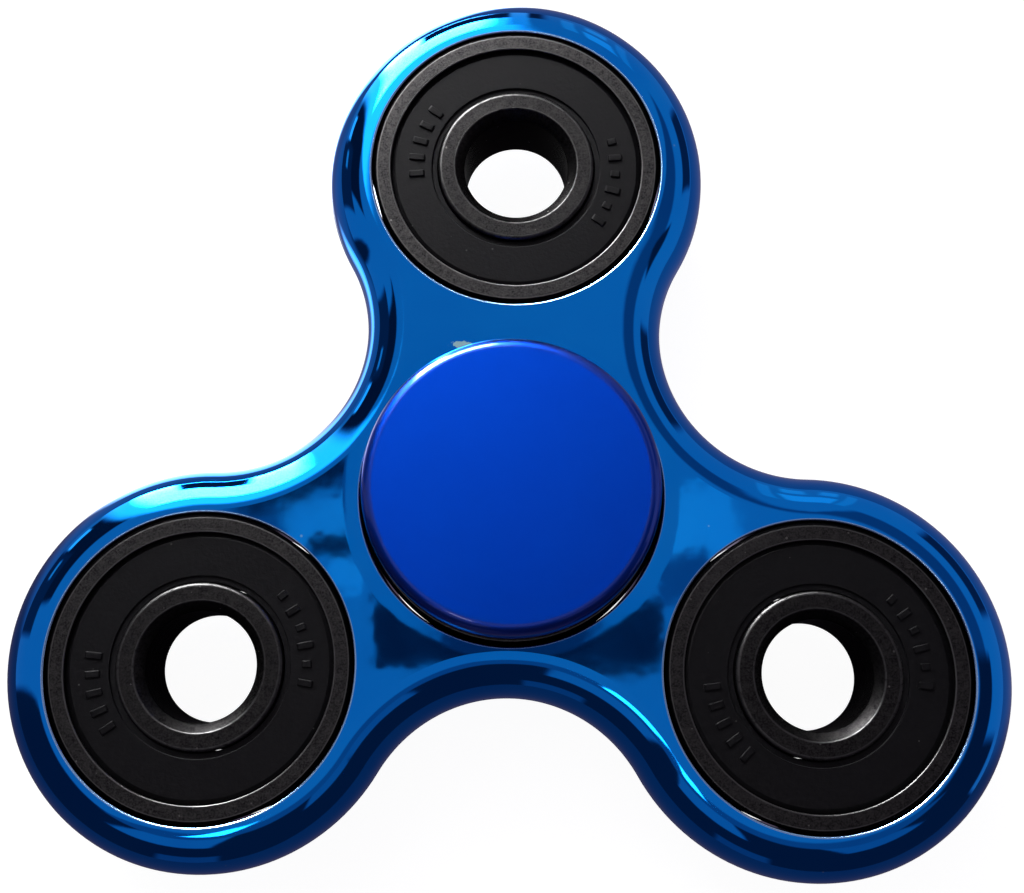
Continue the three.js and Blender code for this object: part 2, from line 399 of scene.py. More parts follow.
def wear_and_shade_of(tree):
    """The piece's wear and shade attribute: 1 on worn edges that stand out, and below 0 where shade is
    painted in, darker in seats and bores.
    """
    return add_node(tree, "ShaderNodeAttribute", attribute_name="wear_and_shade").outputs["Fac"]


def set_bump(tree, shader, height, depth):
    bump = add_node(tree, "ShaderNodeBump", {"Height": height, "Distance": depth, "Strength": 1.0})
    set_inputs(tree, shader, Normal=bump.outputs["Normal"])


def grain(tree, place, spacing, contrast):
    """Grain at a spacing in millimetres: the group's outputs, Height and Mask."""
    return use_group(tree, GRAIN, Position=place, Spacing=spacing * MM, Contrast=contrast).outputs


def painted_glint_fleck(tree, place):
    """A mask of a small painted highlight, a glint fleck, on the upper face beside the hub's bore."""
    shares = vector_node(tree, "DIVIDE", vector_node(tree, "SUBTRACT", place, FLECK_PLACE), FLECK_SIZE)
    reach = length_node(tree, shares)
    ragged = grain(tree, place, 0.45, 1.0)
    edge = math_node(tree, "MULTIPLY_ADD", ragged["Mask"], 1.1, reach)
    return ramp_between(tree, edge, 1.25, 1.4, 1.0, 0.0)


def plated_blue():
    """Mirror-like plating under clear blue lacquer, slightly wavy as moulded plastic is."""
    material, tree, shader, place = new_material(
        "plated_blue",
        Metallic=1.0,
        Coat_Weight=0.05,
        Coat_Roughness=0.02,
        Coat_IOR=1.5,
    )
    cloud = grain(tree, place, 12, 0.5)
    tint = mix_colors(tree, cloud["Mask"], (0.002, 0.24, 0.88, 1), (0.003, 0.275, 0.93, 1))
    flecks = use_group(tree, SPECKS, Position=place, Spacing=1.1 * MM, Size=0.10, Share=0.16)
    faint = product(tree, flecks.outputs["Mask"], 0.6)
    tint = mix_colors(tree, faint, tint, (0.35, 0.55, 0.8, 1))
    # Painted highlight: a bright cyan-white glint fleck beside the hub's bore, tinted into the plating.
    tint = mix_colors(tree, painted_glint_fleck(tree, place), tint, (0.55, 0.95, 1.0, 1))
    rubbed = use_group(tree, EDGE_WEAR, Wear=wear_and_shade_of(tree), Position=place, Spacing=2 * MM, Amount=0.8)
    thinned = product(tree, rubbed.outputs["Mask"], 0.7)
    tint = mix_colors(tree, thinned, tint, (0.5, 0.72, 0.95, 1))
    smear = grain(tree, place, 5, 0.6)
    polish = ramp_between(tree, smear["Mask"], 0.0, 1.0, 0.03, 0.06)
    dulled = math_node(tree, "MULTIPLY_ADD", rubbed.outputs["Mask"], 0.2, polish)
    set_inputs(tree, shader, Base_Color=tint, Roughness=dulled)
    sink = grain(tree, place, 7, 1.0)
    peel = grain(tree, place, 1.1, 1.0)
    dip = use_group(
        tree,
        SINK,
        Position=place,
        Axis=SPIN_AXIS,
        Start=SHELL_BORE - 0.4 * MM,
        End=SHELL_BORE + 1.4 * MM,
    )
    waves = math_node(tree, "MULTIPLY_ADD", peel["Height"], 0.012, sink["Height"])
    waves = math_node(tree, "MULTIPLY_ADD", dip.outputs["Height"], 1.9, waves)
    set_bump(tree, shader, waves, 0.013 * MM)
    return material


def satin_blue():
    """Deep blue satin plastic of the finger caps."""
    material, tree, shader, place = new_material(
        "satin_blue",
        Metallic=0.9,
        Specular_IOR_Level=0.1,
        Coat_Roughness=0.04,
    )
    wear_and_shade = wear_and_shade_of(tree)
    cloud = grain(tree, place, 3, 0.8)
    tint = mix_colors(tree, cloud["Mask"], (0.0, 0.038, 0.4, 1), (0.0, 0.042, 0.425, 1))
    roughness = ramp_between(tree, wear_and_shade, 0.0, 1.0, 0.5, 0.36)
    coat = ramp_between(tree, wear_and_shade, 0.0, 1.0, 0.02, 0.7)
    set_inputs(tree, shader, Base_Color=tint, Roughness=roughness, Coat_Weight=coat)
    skin = grain(tree, place, 0.25, 1.0)
    set_bump(tree, shader, skin["Height"], 0.002 * MM)
    return material


def blackened_steel(name, dark, bright, wear_amount):
    """Blackened bearing steel: blasted, a little dusty, rubbed brighter on edges, with painted shade, near
    black, in its seats and bore.
    """
    material, tree, shader, place = new_material(
        name,
        Metallic=0.9,
        Specular_IOR_Level=0.15,
        Specular_Tint=(0.12, 0.12, 0.13, 1),
    )
    wear_and_shade = wear_and_shade_of(tree)
    blast = grain(tree, place, 0.15, 0.3)
    light = 5 * dark
    low = (dark, dark * 0.96, dark * 1.1, 1)
    high = (light, light * 0.96, light, 1)
    tint = mix_colors(tree, blast["Mask"], low, high)
    rubs = grain(tree, place, 0.35, 0.45)
    patches = product(tree, rubs["Mask"], 0.5)
    tint = mix_colors(tree, patches, tint, (light * 1.7, light * 1.65, light * 1.6, 1))
    dust = use_group(tree, SPECKS, Position=place, Spacing=0.5 * MM, Size=0.19, Share=0.2)
    tint = mix_colors(tree, dust.outputs["Mask"], tint, (0.2, 0.19, 0.185, 1))
    worn = use_group(tree, EDGE_WEAR, Wear=wear_and_shade, Position=place, Spacing=0.4 * MM, Amount=wear_amount)
    tint = mix_colors(tree, worn.outputs["Mask"], tint, (bright, bright, bright, 1))
    # Painted shade: where the wear value is below 0, in seats and bores, the steel is painted near black
    # and made rougher.
    painted_shade = math_node(tree, "MAXIMUM", product(tree, wear_and_shade, -1.0), 0.0)
    tint = mix_colors(tree, painted_shade, tint, (0.0008, 0.0008, 0.001, 1))
    polish = ramp_between(tree, worn.outputs["Mask"], 0.0, 1.0, 0.42, 0.36)
    roughness = math_node(tree, "MULTIPLY_ADD", painted_shade, 0.3, polish)
    set_inputs(tree, shader, Base_Color=tint, Roughness=roughness)
    around = tree.nodes.new("ShaderNodeTexCoord").outputs["UV"]
    lines = use_group(tree, TURNING, Position=around, Pitch=0.05 * MM, Length=3 * MM)
    height = math_node(tree, "ADD", lines.outputs["Height"], blast["Height"])
    set_bump(tree, shader, height, 0.008 * MM)
    return material


def seal_rubber():
    """Black moulded rubber, nearly matt, with a little dust."""
    material, tree, shader, place = new_material("seal_rubber", Specular_IOR_Level=0.09)
    skin = grain(tree, place, 0.3, 0.6)
    tint = mix_colors(tree, skin["Mask"], (0.0025, 0.0024, 0.003, 1), (0.005, 0.0048, 0.0056, 1))
    dust = use_group(tree, SPECKS, Position=place, Spacing=1.0 * MM, Size=0.08, Share=0.35)
    tint = mix_colors(tree, dust.outputs["Mask"], tint, (0.12, 0.115, 0.11, 1))
    roughness = ramp_between(tree, skin["Mask"], 0.0, 1.0, 0.42, 0.6)
    set_inputs(tree, shader, Base_Color=tint, Roughness=roughness)
    set_bump(tree, shader, skin["Height"], 0.016 * MM)
    return material


def pressed_steel():
    """Bright pressed sheet steel of the ball cages, with a thin film of grease."""
    material, tree, shader, place = new_material("pressed_steel", Metallic=1.0, Coat_Weight=0.4)
    film = grain(tree, place, 1.5, 0.6)
    tint = mix_colors(tree, film["Mask"], (0.36, 0.34, 0.3, 1), (0.5, 0.49, 0.46, 1))
    roughness = ramp_between(tree, film["Mask"], 0.0, 1.0, 0.25, 0.4)
    set_inputs(tree, shader, Base_Color=tint, Roughness=roughness)
    set_bump(tree, shader, film["Height"], 0.006 * MM)
    return material


def polished_steel():
    """Polished balls, with faint lapping marks."""
    material, tree, shader, place = new_material("polished_steel", Metallic=1.0)
    lap = grain(tree, place, 0.4, 0.5)
    tint = mix_colors(tree, lap["Mask"], (0.58, 0.58, 0.6, 1), (0.66, 0.66, 0.67, 1))
    roughness = ramp_between(tree, lap["Mask"], 0.0, 1.0, 0.04, 0.1)
    set_inputs(tree, shader, Base_Color=tint, Roughness=roughness)
    return material


FINISHES = {
    "shell": plated_blue(),
    "cap": satin_blue(),
    "outer_ring": blackened_steel("blackened_outer_ring", 0.0062, 0.085, 0.75),
    "inner_ring": blackened_steel("blackened_inner_ring", 0.0046, 0.06, 0.6),
    "seal": seal_rubber(),
    "cage": pressed_steel(),
    "ball": polished_steel(),
}


def place_piece(obj, finish, body, node):
    """Gives a piece its finish, lets it move with its body, and shows it in place of its CAD node."""
    if finish:
        obj.data.materials.clear()
        obj.data.materials.append(FINISHES[finish])
    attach(obj, body)
    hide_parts(node)


# ---- Shell ----

# Waist circles touch the lobes, so each outline is a chain of arcs, and an inset only changes their radii
WAIST_DISTANCE = SHELL_BORE + WAIST_WALL
WAIST_RADIUS = (ARM_REACH**2 + WAIST_DISTANCE**2 - ARM_REACH * WAIST_DISTANCE - LOBE_RADIUS**2) / (
    ARM_REACH + 2 * LOBE_RADIUS - 2 * WAIST_DISTANCE
)
WAIST_CENTRE = WAIST_DISTANCE + WAIST_RADIUS
ARM_STEP = TURN / len(ARMS)


def polar(distance, angle):
    return np.array((distance * math.cos(angle), distance * math.sin(angle)))


def shell_outline(inset, lobe_steps=96, waist_steps=56):
    """The shell's outline, moved in by inset, as points round the spin axis."""
    across = WAIST_CENTRE * math.sin(ARM_STEP / 2)
    along = WAIST_CENTRE * math.cos(ARM_STEP / 2) - ARM_REACH
    lobe_half = math.atan2(across, along)
    waist_half = lobe_half - ARM_STEP / 2
    points = []
    for i in range(len(ARMS)):
        arm = TURN / 4 + i * ARM_STEP
        gap = arm + ARM_STEP / 2
        lobe, waist = polar(ARM_REACH, arm), polar(WAIST_CENTRE, gap)
        for angle in np.linspace(arm - lobe_half, arm + lobe_half, lobe_steps, endpoint=False):
            points.append(lobe + polar(LOBE_RADIUS - inset, angle))
        back = gap + math.pi
        for angle in np.linspace(back + waist_half, back - waist_half, waist_steps, endpoint=False):
            points.append(waist + polar(WAIST_RADIUS + inset, angle))
    return np.array(points)


def shell_side_profile(steps=16):
    """(inset, height) from the lower face's rounding, out over the side, to the upper face."""
    support = 0.03 * MM
    band = SHELL_HALF - SHELL_EDGE
    ridge = 0.08 * MM
    upper = [(0.0, band * 0.7)]
    for angle in np.linspace(0, TURN / 4, steps + 1):
        upper.append((SHELL_EDGE * (1 - math.cos(angle)), band + SHELL_EDGE * math.sin(angle)))
    upper.append((SHELL_EDGE + support, SHELL_HALF))
    middle = [(0.0, -ridge), (-PARTING_RIDGE, -ridge / 3), (-PARTING_RIDGE, ridge / 3), (0.0, ridge)]
    lower = [(inset, -height) for inset, height in reversed(upper)]
    return lower + middle + upper


def shell_bore_profile(steps=6):
    """(radius, height) down a bore, from the upper face's rim to the lower one's."""
    support = 0.03 * MM
    upper = [(SHELL_BORE + SHELL_RIM + support, SHELL_HALF)]
    for angle in np.linspace(0, TURN / 4, steps + 1):
        radius = SHELL_BORE + SHELL_RIM * (1 - math.sin(angle))
        upper.append((radius, SHELL_HALF - SHELL_RIM * (1 - math.cos(angle))))
    upper.append((SHELL_BORE, SHELL_HALF - SHELL_RIM - support))
    return upper + [(radius, -height) for radius, height in reversed(upper)]


def inside_face(point, inset, bore_radius, bore_centres):
    """True for a point of the flat face: within the outline and clear of the bores."""
    if any(np.hypot(*(point - bore)) < bore_radius for bore in bore_centres):
        return False
    for i in range(len(ARMS)):
        arm = TURN / 4 + i * ARM_STEP
        if np.hypot(*(point - polar(ARM_REACH, arm))) < LOBE_RADIUS - inset:
            return True
        if np.hypot(*(point - polar(WAIST_CENTRE, arm + ARM_STEP / 2))) < WAIST_RADIUS + inset:
            return False
    reach = [point @ polar(1.0, TURN / 4 + (i + 0.5) * ARM_STEP) for i in range(len(ARMS))]
    return max(reach) < WAIST_CENTRE


def shell_mesh(name, bore_segments=144):
    bores = [np.array((axis.x, axis.y)) for axis in AXES.values()]
    centre = np.array((SPIN_AXIS.x, SPIN_AXIS.y))
    vertices, faces, wear_and_shade = [], [], []

    def add_ring(flat, height, worn):
        first = len(vertices)
        vertices.extend((x, y, MIDDLE + height) for x, y in flat)
        wear_and_shade.extend([worn] * len(flat))
        return list(range(first, len(vertices)))

    def join_rings(lower, upper):
        for i in range(len(lower)):
            k = (i + 1) % len(lower)
            faces.append((lower[i], lower[k], upper[k], upper[i]))

    side = []
    for inset, height in shell_side_profile():
        side.append(add_ring(shell_outline(inset) + centre, height, 0.0))
    for lower, upper in zip(side, side[1:]):
        join_rings(lower, upper)
    walls = []
    for bore in bores:
        circle = np.array([polar(1.0, TURN * i / bore_segments) for i in range(bore_segments)])
        rings = []
        for radius, height in shell_bore_profile():
            worn = 1.0 if SHELL_BORE < radius < SHELL_BORE + SHELL_RIM * 1.001 else 0.0
            rings.append(add_ring(circle * radius + bore, height, worn))
        for upper, lower in zip(rings, rings[1:]):
            join_rings(upper, lower)
        walls.append(rings)
    inset = shell_side_profile()[-1][0]
    rim = shell_bore_profile()[0][0]
    for top in (True, False):
        loops = [side[-1 if top else 0]] + [rings[0 if top else -1] for rings in walls]
        ids = [i for loop in loops for i in loop]
        flat = [Vector(vertices[i][:2]) for i in ids]
        edges, start = [], 0
        for loop in loops:
            edges += [(start + i, start + (i + 1) % len(loop)) for i in range(len(loop))]
            start += len(loop)
        points, _, triangles, origin, _, _ = delaunay_2d_cdt(flat, edges, [], 0, 1e-9)
        for triangle in triangles:
            corners = [origin[i][0] for i in triangle]
            middle = sum((np.array(points[i]) for i in triangle), np.zeros(2)) / 3 - centre
            if not inside_face(middle, inset, rim, [bore - centre for bore in bores]):
                continue
            face = [ids[c] for c in corners]
            a, b, c = (np.array(vertices[i][:2]) for i in face)
            upwards = (b - a)[0] * (c - a)[1] - (b - a)[1] * (c - a)[0] > 0
            faces.append(face if upwards == top else face[::-1])
    return mesh_object(name, vertices, faces, wear_and_shade=wear_and_shade)


def make_shell():
    place_piece(shell_mesh("plated_body"), "shell", "spinner", "body_shell")


# ---- Finger caps ----


def cap_profile():
    """The cap's section, from the end of its stub on the axis to the middle of its face."""
    roof, wall, lift, edge = 1.8 * MM, 1.2 * MM, 1.0 * MM, 0.8 * MM
    stub = BORE_RADIUS - 0.1 * MM
    boss = INNER_RADIUS - 0.53 * MM
    seat = RING_HALF + 0.1 * MM
    ceiling = CAP_TOP - roof
    corners = [
        (0.0, STUB_END, 0),
        (stub, STUB_END, 0.35 * MM),
        (stub, seat, 0.1 * MM),
        (boss, seat, 0.15 * MM),
        (boss, ceiling, 0.3 * MM),
        (CAP_RADIUS - wall, ceiling, 0.4 * MM),
        (CAP_RADIUS - wall, RING_HALF + lift, 0.1 * MM),
        (CAP_RADIUS, RING_HALF + lift, 0.2 * MM),
        (CAP_RADIUS, CAP_TOP, edge),
        (0.0, CAP_TOP, 0),
    ]
    return round_corners(corners, closed=False, steps=10)


def make_caps():
    for side, flip in (("top", False), ("bottom", True)):
        cap = turned(f"finger_cap_{side}", cap_profile(), SPIN_AXIS, 160, closed=False, flip=flip)
        place_piece(cap, "cap", "hub", f"cap_{side}")


# ---- Bearings ----


def outer_ring_profile():
    """The outer ring's section. Its seat and the corners beside it carry painted shade for the dark gap
    against the shell, so their wear value is below 0.
    """
    race = BALL_PITCH + BALL_RADIUS + RACE_ROOM - RACE_RADIUS
    half = math.acos((OUTER_SHOULDER - race) / RACE_RADIUS)
    lip = SEAL_RIM_TOP + 0.2 * MM
    floor = SEAL_BOTTOM - 0.1 * MM
    upper = [
        (RING_RADIUS, RING_HALF, 0.3 * MM),
        (RING_FACE_INNER, RING_HALF, 0.08 * MM),
        (RING_FACE_INNER, lip + 0.1 * MM, 0.04 * MM),
        (SEAL_GROOVE, lip, 0.04 * MM),
        (SEAL_GROOVE, floor, 0.06 * MM),
        (OUTER_SHOULDER, floor, 0.08 * MM),
    ]
    groove = arc_points((race, 0.0), RACE_RADIUS, half, -half, 14)
    lower = [(r, -z, rounding) for r, z, rounding in reversed(upper)]
    profile = round_corners(upper + [(r, z, 0) for r, z, _ in groove] + lower)
    seat_edge = RING_RADIUS - 0.25 * MM
    # Painted shade: the seat and its corners are set below 0, so they come out near black like the shadowed
    # gap against the shell.
    return [(r, z, -1.0 if r > seat_edge else wear_and_shade) for r, z, wear_and_shade in profile]


def inner_ring_profile():
    """The inner ring's section. Its bore carries painted shade, so its wear value is below 0."""
    race = BALL_PITCH - BALL_RADIUS - RACE_ROOM + RACE_RADIUS
    half = math.acos((race - INNER_RADIUS) / RACE_RADIUS)
    lead_in = 0.7 * MM
    lower = [
        (BORE_RADIUS, lead_in - RING_HALF, 0.3 * MM),
        (BORE_RADIUS + lead_in, -RING_HALF, 0.12 * MM),
        (INNER_RADIUS, -RING_HALF, 0.25 * MM),
    ]
    groove = arc_points((race, 0.0), RACE_RADIUS, math.pi + half, math.pi - half, 14)
    upper = [(r, -z, rounding) for r, z, rounding in reversed(lower)]
    profile = round_corners(lower + [(r, z, 0) for r, z, _ in groove] + upper)
    # Painted shade: the bore is set below 0, so it comes out darker like a shadowed hole.
    return [(r, z, -0.5 if r < BORE_RADIUS + 0.2 * MM else wear_and_shade) for r, z, wear_and_shade in profile]


def seal_profile():
    """A disc with a thin rim that snaps into the outer ring and a lowered lip beside the inner ring."""
    lip_height, lip_width = 0.18 * MM, 0.42 * MM
    corners = [
        (SEAL_LIP, SEAL_BOTTOM, 0.05 * MM),
        (SEAL_GROOVE - 0.1 * MM, SEAL_BOTTOM, 0.05 * MM),
        (SEAL_GROOVE - 0.1 * MM, SEAL_RIM_TOP, 0.05 * MM),
        (SEAL_EDGE, SEAL_TOP, 0.08 * MM),
        (SEAL_LIP + lip_width, SEAL_TOP, 0.05 * MM),
        (SEAL_LIP + lip_width, SEAL_TOP - lip_height, 0.03 * MM),
        (SEAL_LIP, SEAL_TOP - lip_height, 0.05 * MM),
    ]
    return round_corners(corners, steps=4)


def circle_place(tree, angle, radius, centre):
    """The point at an angle on a level circle."""
    x = product(tree, math_node(tree, "COSINE", angle), radius)
    y = product(tree, math_node(tree, "SINE", angle), radius)
    offset = add_node(tree, "ShaderNodeCombineXYZ", {0: x, 1: y})
    return vector_node(tree, "ADD", offset.outputs[0], centre)


def ring_points(tree, given, step, radius):
    """Points at even steps along a level circle: (angle, points)."""
    index = add_node(tree, "GeometryNodeInputIndex").outputs[0]
    angle = math_node(tree, "MULTIPLY_ADD", index, step, given["First angle"])
    place = circle_place(tree, angle, radius, given["Centre"])
    points = add_node(tree, "GeometryNodePoints", {"Count": given["Count"], "Position": place})
    return angle, points.outputs[0]


def finish_tree(tree, outputs, given, shapes):
    """Makes placed shapes real and smooth, adds them to the piece, and gives the whole its material."""
    real = add_node(tree, "GeometryNodeRealizeInstances", {0: shapes})
    smooth = add_node(tree, "GeometryNodeSetShadeSmooth", {"Geometry": real.outputs[0]})
    joined = add_node(tree, "GeometryNodeJoinGeometry")
    for geometry in (smooth.outputs[0], given["Geometry"]):
        tree.links.new(geometry, joined.inputs[0])
    coated = {"Geometry": joined.outputs[0], "Material": given["Material"]}
    finished = add_node(tree, "GeometryNodeSetMaterial", coated)
    set_inputs(tree, outputs, Geometry=finished.outputs[0])
    return tree


def make_marks_tree():
    """Geometry nodes that add a row of small raised bars, long and short, along an arc of a seal."""
    inputs = {
        "Geometry": GEOMETRY,
        "Centre": VECTOR,
        "Count": 5,
        "First angle": 0.0,
        "Step angle": 0.17,
        "Radius": 0.0079,
        "Length": 0.0013,
        "Width": 0.0004,
        "Height": 0.0002,
        "Seed": 0,
        "Material": MATERIAL,
    }
    tree, given, outputs = new_group("Raised marks", inputs, {"Geometry": GEOMETRY}, "GeometryNodeTree")
    angle, points = ring_points(tree, given, given["Step angle"], given["Radius"])
    sizes = {0: given["Length"], 1: given["Width"], 2: given["Height"]}
    size = add_node(tree, "ShaderNodeCombineXYZ", sizes)
    block = add_node(tree, "GeometryNodeMeshCube", {"Size": size.outputs[0]})
    softened = {"Mesh": block.outputs[0], "Level": 3, "Edge Crease": 0.55}
    bar = add_node(tree, "GeometryNodeSubdivisionSurface", softened).outputs[0]
    shares = {2: 0.45, 3: 1.0, "Seed": given["Seed"]}
    share = add_node(tree, "FunctionNodeRandomValue", shares, data_type="FLOAT").outputs[1]
    stretch = add_node(tree, "ShaderNodeCombineXYZ", {0: share, 1: 1.0, 2: 1.0}).outputs[0]
    turn = add_node(tree, "ShaderNodeCombineXYZ", {2: angle}).outputs[0]
    copies = {"Points": points, "Instance": bar, "Rotation": turn, "Scale": stretch}
    rows = add_node(tree, "GeometryNodeInstanceOnPoints", copies)
    return finish_tree(tree, outputs, given, rows.outputs[0])


def make_rivets_tree():
    """Geometry nodes that add a ring of small rivet heads, above and below, to a cage."""
    inputs = {
        "Geometry": GEOMETRY,
        "Centre": VECTOR,
        "Count": 7,
        "First angle": 0.0,
        "Pitch radius": 0.0075,
        "Head radius": 0.0004,
        "Half height": 0.0006,
        "Material": MATERIAL,
    }
    tree, given, outputs = new_group("Rivets", inputs, {"Geometry": GEOMETRY}, "GeometryNodeTree")
    step = math_node(tree, "DIVIDE", TURN, given["Count"])
    _, points = ring_points(tree, given, step, given["Pitch radius"])
    sizes = {"Segments": 16, "Rings": 8, "Radius": given["Head radius"]}
    head = add_node(tree, "GeometryNodeMeshUVSphere", sizes).outputs[0]
    tall = math_node(tree, "DIVIDE", given["Half height"], given["Head radius"])
    stretch = add_node(tree, "ShaderNodeCombineXYZ", {0: 1.0, 1: 1.0, 2: tall}).outputs[0]
    copies = {"Points": points, "Instance": head, "Scale": stretch}
    rivets = add_node(tree, "GeometryNodeInstanceOnPoints", copies)
    return finish_tree(tree, outputs, given, rivets.outputs[0])


def make_ball_tree():
    """Geometry nodes that put one ball at its place in a bearing."""
    inputs = {
        "Geometry": GEOMETRY,
        "Centre": VECTOR,
        "Pitch radius": 0.0075,
        "Ball radius": 0.002,
        "Angle": 0.0,
        "Material": MATERIAL,
    }
    tree, given, outputs = new_group(
        "Ball in its pocket", inputs, {"Geometry": GEOMETRY}, "GeometryNodeTree"
    )
    place = circle_place(tree, given["Angle"], given["Pitch radius"], given["Centre"])
    round_ball = {"Radius": given["Ball radius"], "Subdivisions": 4}
    ball = add_node(tree, "GeometryNodeMeshIcoSphere", round_ball)
    moved = add_node(tree, "GeometryNodeTransform", {"Geometry": ball.outputs[0], "Translation": place})
    return finish_tree(tree, outputs, given, moved.outputs[0])


MARKS = make_marks_tree()
RIVETS = make_rivets_tree()
BALL = make_ball_tree()


def grow(obj, *stages):
    """Runs obj through geometry node trees, each given as (tree, inputs), and leaves it one plain mesh."""
    for tree, values in stages:
        modifier = obj.modifiers.new(tree.name, "NODES")
        modifier.node_group = tree
        sockets = {s.name: s.identifier for s in tree.interface.items_tree if s.in_out == "INPUT"}
        for name, value in values.items():
            modifier[sockets[name]] = value
    evaluated = obj.evaluated_get(bpy.context.evaluated_depsgraph_get())
    mesh = bpy.data.meshes.new_from_object(evaluated)
    obj.modifiers.clear()
    old, obj.data = obj.data, mesh
    bpy.data.meshes.remove(old)
    mesh.name = obj.name


# Where the two rows of marks are centred on each bearing's seal, in degrees
MARK_PLACES = {"hub": (180, 0), "arm_1": (165, -9), "arm_2": (195, 17), "arm_3": (207, 20)}


def make_seal(label, side):
    flip = side == "bottom"
    seal = turned(f"{label}_rubber_seal_{side}", seal_profile(), AXES[label], segments=144, flip=flip)
    level = -SEAL_TOP if flip else SEAL_TOP
    step = math.radians(10)
    rows = []
    for row, (count, middle) in enumerate(zip((5, 6), MARK_PLACES[label])):
        values = {
            "Centre": AXES[label] + Vector((0, 0, level)),
            "Count": count,
            "First angle": math.radians(middle) - step * (count - 1) / 2,
            "Step angle": step,
            "Radius": (SEAL_EDGE + SEAL_LIP) / 2,
            "Length": 1.3 * MM,
            "Width": 0.5 * MM,
            "Height": 0.28 * MM,
            "Seed": row + 3,
            "Material": FINISHES["seal"],
        }
        rows.append((MARKS, values))
    grow(seal, *rows)
    place_piece(seal, None, "spinner", f"{label}_seal_{side}")


def cage_mesh(name, centre, steps_per_ball=48):
    """Two sheets, above and below, that rise over each ball and meet between the balls."""
    sheet, half_width = 0.3 * MM, 0.5 * MM
    pocket = BALL_RADIUS + 0.12 * MM
    web = 0.45 * MM
    meeting = 0.01 * MM
    total = steps_per_ball * BALL_COUNT
    vertices, faces = [], []
    for sign in (1, -1):
        first = len(vertices)
        for i in range(total):
            angle = TURN / 4 + TURN * i / total
            share = (i / steps_per_ball) % 1.0
            from_ball = min(share, 1 - share) * TURN / BALL_COUNT * BALL_PITCH
            inner = max(meeting, math.sqrt(max(0.0, pocket**2 - from_ball**2)))
            outer = max(web, math.sqrt(max(0.0, (pocket + sheet) ** 2 - from_ball**2)))
            for r, z in (
                (BALL_PITCH - half_width, inner),
                (BALL_PITCH + half_width, inner),
                (BALL_PITCH + half_width, outer),
                (BALL_PITCH - half_width, outer),
            ):
                x, y = polar(r, angle)
                vertices.append((centre.x + x, centre.y + y, centre.z + sign * z))
        for i in range(total):
            here, ahead = first + 4 * i, first + 4 * ((i + 1) % total)
            for j in range(4):
                k = (j + 1) % 4
                quad = (here + j, ahead + j, ahead + k, here + k)
                faces.append(quad if sign > 0 else quad[::-1])
    cage = mesh_object(name, vertices, faces)
    cage.data.polygons.foreach_set("use_smooth", [False] * len(cage.data.polygons))
    return cage


def make_cage(label):
    cage = cage_mesh(f"{label}_ribbon_cage", AXES[label])
    rivets = {
        "Centre": AXES[label],
        "Count": BALL_COUNT,
        "First angle": TURN / 4 + TURN / BALL_COUNT / 2,
        "Pitch radius": BALL_PITCH,
        "Head radius": 0.38 * MM,
        "Half height": 0.65 * MM,
        "Material": FINISHES["cage"],
    }
    grow(cage, (RIVETS, rivets))
    place_piece(cage, None, f"{label}_cage", f"{label}_cage")


def make_balls(label):
    for i in range(BALL_COUNT):
        ball = mesh_object(f"{label}_steel_ball_{i + 1}", [], [])
        values = {
            "Centre": AXES[label],
            "Pitch radius": BALL_PITCH,
            "Ball radius": BALL_RADIUS,
            "Angle": TURN / 4 + TURN * i / BALL_COUNT,
            "Material": FINISHES["ball"],
        }
        grow(ball, (BALL, values))
        node = f"{label}_ball_{i + 1}"
        place_piece(ball, None, node, node)


def make_bearing(label):
    outer = turned(f"{label}_outer_race", outer_ring_profile(), AXES[label], segments=160)
    place_piece(outer, "outer_ring", "spinner", f"{label}_outer_ring")
    inner = turned(f"{label}_inner_race", inner_ring_profile(), AXES[label], segments=128)
    body = "hub" if label == "hub" else f"{label}_ring"
    place_piece(inner, "inner_ring", body, f"{label}_inner_ring")
    make_seal(label, "top")
    make_seal(label, "bottom")
    make_cage(label)
    make_balls(label)


# ---- Studio ----

# What the object mirrors, painted over the base level in this order, by direction in degrees:
# (azimuth, elevation, half width, half height, softness, level)
BASE_LEVEL = 0.43
PANELS = (
    (-102, 24, 72, 37, 3, 0.04),
    (-26, 35, 10, 22, 5, 0.04),
    (14, 57, 42, 9, 5, 0.17),
    (-14, 52, 19, 13, 4, 0.04),
    (-117, 51, 15, 9, 3, 0.36),
    (-52, 54, 11, 7, 3, 0.28),
    (-85, 66, 60, 4, 3, 0.22),
    (-120, 70, 7, 2.5, 2, 6.0),
    (-104, 3, 8, 12, 3, 0.16),
    (149, 30, 13, 20, 3, 0.03),
    (160, 15, 10, 14, 3, 0.06),
    (144, 11, 3, 3, 1.5, 1.5),
    (154, 16, 2, 2, 1.5, 0.6),
    (112, 26, 19, 36, 6, 2.4),
    (111, 22, 11, 22, 6, 58.0),
    (99, 10, 13, 9, 3, 0.05),
    (90, 22, 1.2, 24, 1.5, 0.9),
    (72, 32, 3, 7, 1.5, 0.8),
    (72, 12, 2, 5, 1.5, 0.7),
    (79, 22, 1, 14, 1, 0.62),
    (65, 24, 1, 16, 1, 0.58),
    (30, 14, 11, 10, 4, 0.06),
)

# Shapes overhead, as on a ceiling one metre up:
# (x, y, half length, half width, turn in degrees, softness, level)
CEILING_SHAPES = (
    (-0.165, 0.150, 0.050, 0.020, 24, 0.012, 0.22),
    (0.141, 0.138, 0.026, 0.026, 15, 0.008, 0.66),
    (-0.148, 0.137, 0.026, 0.017, 10, 0.006, 0.6),
    (-0.130, 0.094, 0.014, 0.010, -20, 0.004, 0.66),
    (-0.172, 0.165, 0.042, 0.009, 24, 0.003, 0.04),
    (-0.140, 0.117, 0.016, 0.006, 8, 0.003, 0.05),
    (0.130, 0.097, 0.020, 0.012, 20, 0.008, 0.22),
    (0.002, 0.053, 0.107, 0.026, 0, 0.003, 0.045),
    (0.0, 0.092, 0.035, 0.022, 0, 0.01, 0.1),
)

